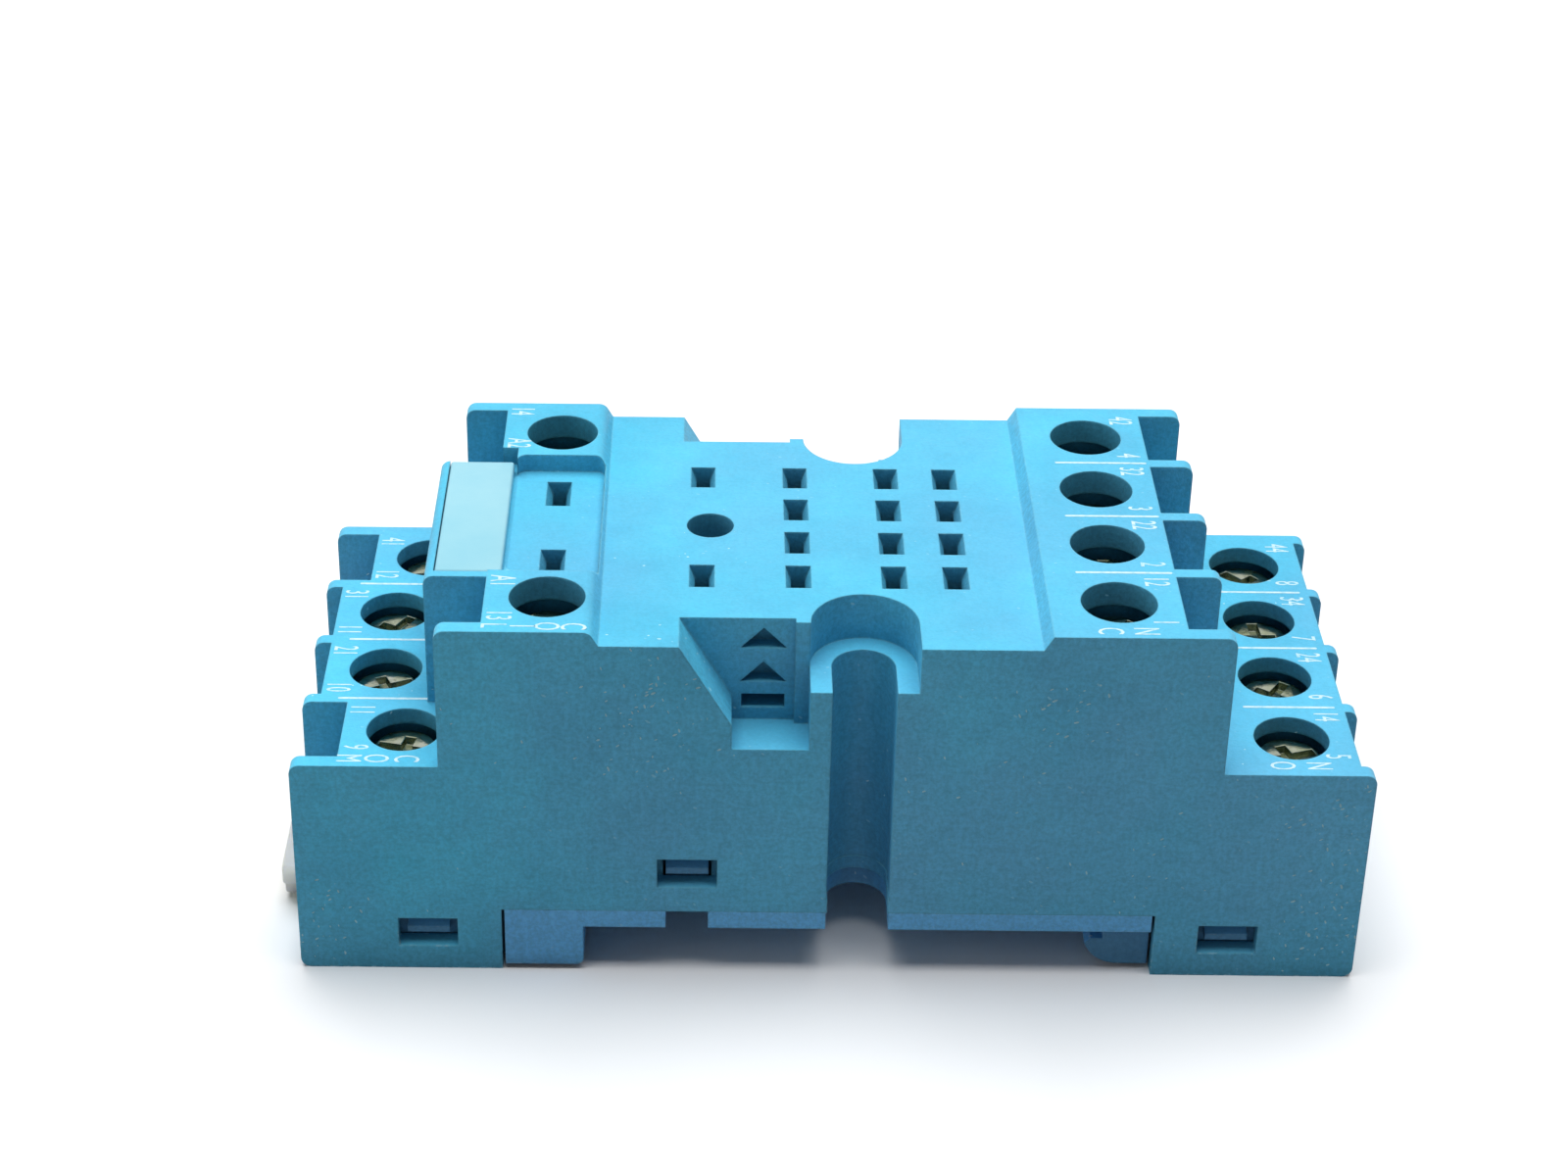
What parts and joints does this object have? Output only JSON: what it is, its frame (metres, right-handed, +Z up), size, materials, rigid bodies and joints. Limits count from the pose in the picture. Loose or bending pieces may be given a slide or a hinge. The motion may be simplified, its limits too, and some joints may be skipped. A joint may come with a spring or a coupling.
{
  "type": "relay socket",
  "caption": "Stepped screw-terminal socket for a plug-in relay, with rising clamps, a module recess, a label and a sprung rail clip.",
  "frame": {"origin": "centre of the rail seat, on the underside of the base, midway between the rail stop and the hook", "axes": "+X along the body from the coil end to the contact end, +Y across the poles, +Z up, away from the rail"},
  "size_m": [0.0732, 0.0308, 0.027],
  "materials": {
    "housing_plastic": "fine matte moulded blue",
    "base_plastic": "matte moulded navy",
    "clip_nylon": "natural translucent ivory",
    "label_plastic": "pale satin blue",
    "screw_zinc": "zinc with a yellow-green tint",
    "clamp_zinc": "bright zinc",
    "contact_brass": "plain stamped brass"
  },
  "bodies": {
    "housing": {"housing": "housing_plastic", "base_plate": "base_plastic", "id_label": "label_plastic", "contact_1": "contact_brass", "contact_2": "contact_brass", "contact_3": "contact_brass", "contact_4": "contact_brass", "contact_5": "contact_brass", "contact_6": "contact_brass", "contact_7": "contact_brass", "contact_8": "contact_brass", "contact_9": "contact_brass", "contact_10": "contact_brass", "contact_11": "contact_brass", "contact_12": "contact_brass", "contact_13": "contact_brass", "contact_14": "contact_brass"},
    "rail_clip": {"rail_clip": "clip_nylon"},
    "screw_1": {"screw_1": "screw_zinc"},
    "clamp_1": {"clamp_1": "clamp_zinc"},
    "screw_2": {"screw_2": "screw_zinc"},
    "clamp_2": {"clamp_2": "clamp_zinc"},
    "screw_3": {"screw_3": "screw_zinc"},
    "clamp_3": {"clamp_3": "clamp_zinc"},
    "screw_4": {"screw_4": "screw_zinc"},
    "clamp_4": {"clamp_4": "clamp_zinc"},
    "screw_5": {"screw_5": "screw_zinc"},
    "clamp_5": {"clamp_5": "clamp_zinc"},
    "screw_6": {"screw_6": "screw_zinc"},
    "clamp_6": {"clamp_6": "clamp_zinc"},
    "screw_7": {"screw_7": "screw_zinc"},
    "clamp_7": {"clamp_7": "clamp_zinc"},
    "screw_8": {"screw_8": "screw_zinc"},
    "clamp_8": {"clamp_8": "clamp_zinc"},
    "screw_9": {"screw_9": "screw_zinc"},
    "clamp_9": {"clamp_9": "clamp_zinc"},
    "screw_10": {"screw_10": "screw_zinc"},
    "clamp_10": {"clamp_10": "clamp_zinc"},
    "screw_11": {"screw_11": "screw_zinc"},
    "clamp_11": {"clamp_11": "clamp_zinc"},
    "screw_12": {"screw_12": "screw_zinc"},
    "clamp_12": {"clamp_12": "clamp_zinc"},
    "screw_13": {"screw_13": "screw_zinc"},
    "clamp_13": {"clamp_13": "clamp_zinc"},
    "screw_14": {"screw_14": "screw_zinc"},
    "clamp_14": {"clamp_14": "clamp_zinc"}
  },
  "joints": [
    {"name": "rail_clip_slide", "type": "slide", "parent": "housing", "child": "rail_clip", "axis": [-1, 0, 0], "range_m": [0, 0.002], "stiffness_N_per_m": 600, "springref_m": -0.002},
    {"name": "screw_1_turn", "type": "hinge", "parent": "housing", "child": "screw_1", "pos_m": [0.01738, -0.01106, 0.021], "axis": [0, 0, -1], "range_deg": [0, 1585]},
    {"name": "clamp_1_rise", "type": "slide", "parent": "housing", "child": "clamp_1", "axis": [0, 0, 1], "range_m": [0, 0.0022]},
    {"name": "screw_2_turn", "type": "hinge", "parent": "housing", "child": "screw_2", "pos_m": [0.01738, -0.00368, 0.021], "axis": [0, 0, -1], "range_deg": [0, 1585]},
    {"name": "clamp_2_rise", "type": "slide", "parent": "housing", "child": "clamp_2", "axis": [0, 0, 1], "range_m": [0, 0.0022]},
    {"name": "screw_3_turn", "type": "hinge", "parent": "housing", "child": "screw_3", "pos_m": [0.01738, 0.00368, 0.021], "axis": [0, 0, -1], "range_deg": [0, 1585]},
    {"name": "clamp_3_rise", "type": "slide", "parent": "housing", "child": "clamp_3", "axis": [0, 0, 1], "range_m": [0, 0.0022]},
    {"name": "screw_4_turn", "type": "hinge", "parent": "housing", "child": "screw_4", "pos_m": [0.01738, 0.01106, 0.021], "axis": [0, 0, -1], "range_deg": [0, 1585]},
    {"name": "clamp_4_rise", "type": "slide", "parent": "housing", "child": "clamp_4", "axis": [0, 0, 1], "range_m": [0, 0.0022]},
    {"name": "screw_5_turn", "type": "hinge", "parent": "housing", "child": "screw_5", "pos_m": [0.02958, -0.01106, 0.0114], "axis": [0, 0, -1], "range_deg": [0, 1585]},
    {"name": "clamp_5_rise", "type": "slide", "parent": "housing", "child": "clamp_5", "axis": [0, 0, 1], "range_m": [0, 0.0022]},
    {"name": "screw_6_turn", "type": "hinge", "parent": "housing", "child": "screw_6", "pos_m": [0.02958, -0.00368, 0.0114], "axis": [0, 0, -1], "range_deg": [0, 1585]},
    {"name": "clamp_6_rise", "type": "slide", "parent": "housing", "child": "clamp_6", "axis": [0, 0, 1], "range_m": [0, 0.0022]},
    {"name": "screw_7_turn", "type": "hinge", "parent": "housing", "child": "screw_7", "pos_m": [0.02958, 0.00368, 0.0114], "axis": [0, 0, -1], "range_deg": [0, 1585]},
    {"name": "clamp_7_rise", "type": "slide", "parent": "housing", "child": "clamp_7", "axis": [0, 0, 1], "range_m": [0, 0.0022]},
    {"name": "screw_8_turn", "type": "hinge", "parent": "housing", "child": "screw_8", "pos_m": [0.02958, 0.01106, 0.0114], "axis": [0, 0, -1], "range_deg": [0, 1585]},
    {"name": "clamp_8_rise", "type": "slide", "parent": "housing", "child": "clamp_8", "axis": [0, 0, 1], "range_m": [0, 0.0022]},
    {"name": "screw_9_turn", "type": "hinge", "parent": "housing", "child": "screw_9", "pos_m": [-0.02945, -0.01106, 0.0114], "axis": [0, 0, -1], "range_deg": [0, 1585]},
    {"name": "clamp_9_rise", "type": "slide", "parent": "housing", "child": "clamp_9", "axis": [0, 0, 1], "range_m": [0, 0.0022]},
    {"name": "screw_10_turn", "type": "hinge", "parent": "housing", "child": "screw_10", "pos_m": [-0.03135, -0.00368, 0.0114], "axis": [0, 0, -1], "range_deg": [0, 1585]},
    {"name": "clamp_10_rise", "type": "slide", "parent": "housing", "child": "clamp_10", "axis": [0, 0, 1], "range_m": [0, 0.0022]},
    {"name": "screw_11_turn", "type": "hinge", "parent": "housing", "child": "screw_11", "pos_m": [-0.03135, 0.00368, 0.0114], "axis": [0, 0, -1], "range_deg": [0, 1585]},
    {"name": "clamp_11_rise", "type": "slide", "parent": "housing", "child": "clamp_11", "axis": [0, 0, 1], "range_m": [0, 0.0022]},
    {"name": "screw_12_turn", "type": "hinge", "parent": "housing", "child": "screw_12", "pos_m": [-0.02945, 0.01106, 0.0114], "axis": [0, 0, -1], "range_deg": [0, 1585]},
    {"name": "clamp_12_rise", "type": "slide", "parent": "housing", "child": "clamp_12", "axis": [0, 0, 1], "range_m": [0, 0.0022]},
    {"name": "screw_13_turn", "type": "hinge", "parent": "housing", "child": "screw_13", "pos_m": [-0.01975, -0.01106, 0.021], "axis": [0, 0, -1], "range_deg": [0, 1585]},
    {"name": "clamp_13_rise", "type": "slide", "parent": "housing", "child": "clamp_13", "axis": [0, 0, 1], "range_m": [0, 0.0022]},
    {"name": "screw_14_turn", "type": "hinge", "parent": "housing", "child": "screw_14", "pos_m": [-0.01975, 0.01106, 0.021], "axis": [0, 0, -1], "range_deg": [0, 1585]},
    {"name": "clamp_14_rise", "type": "slide", "parent": "housing", "child": "clamp_14", "axis": [0, 0, 1], "range_m": [0, 0.0022]}
  ],
  "couplings": [
    {"joint": "screw_1_turn", "follows": "clamp_1_rise", "rad_per_m": 12566},
    {"joint": "screw_2_turn", "follows": "clamp_2_rise", "rad_per_m": 12566},
    {"joint": "screw_3_turn", "follows": "clamp_3_rise", "rad_per_m": 12566},
    {"joint": "screw_4_turn", "follows": "clamp_4_rise", "rad_per_m": 12566},
    {"joint": "screw_5_turn", "follows": "clamp_5_rise", "rad_per_m": 12566},
    {"joint": "screw_6_turn", "follows": "clamp_6_rise", "rad_per_m": 12566},
    {"joint": "screw_7_turn", "follows": "clamp_7_rise", "rad_per_m": 12566},
    {"joint": "screw_8_turn", "follows": "clamp_8_rise", "rad_per_m": 12566},
    {"joint": "screw_9_turn", "follows": "clamp_9_rise", "rad_per_m": 12566},
    {"joint": "screw_10_turn", "follows": "clamp_10_rise", "rad_per_m": 12566},
    {"joint": "screw_11_turn", "follows": "clamp_11_rise", "rad_per_m": 12566},
    {"joint": "screw_12_turn", "follows": "clamp_12_rise", "rad_per_m": 12566},
    {"joint": "screw_13_turn", "follows": "clamp_13_rise", "rad_per_m": 12566},
    {"joint": "screw_14_turn", "follows": "clamp_14_rise", "rad_per_m": 12566}
  ]
}
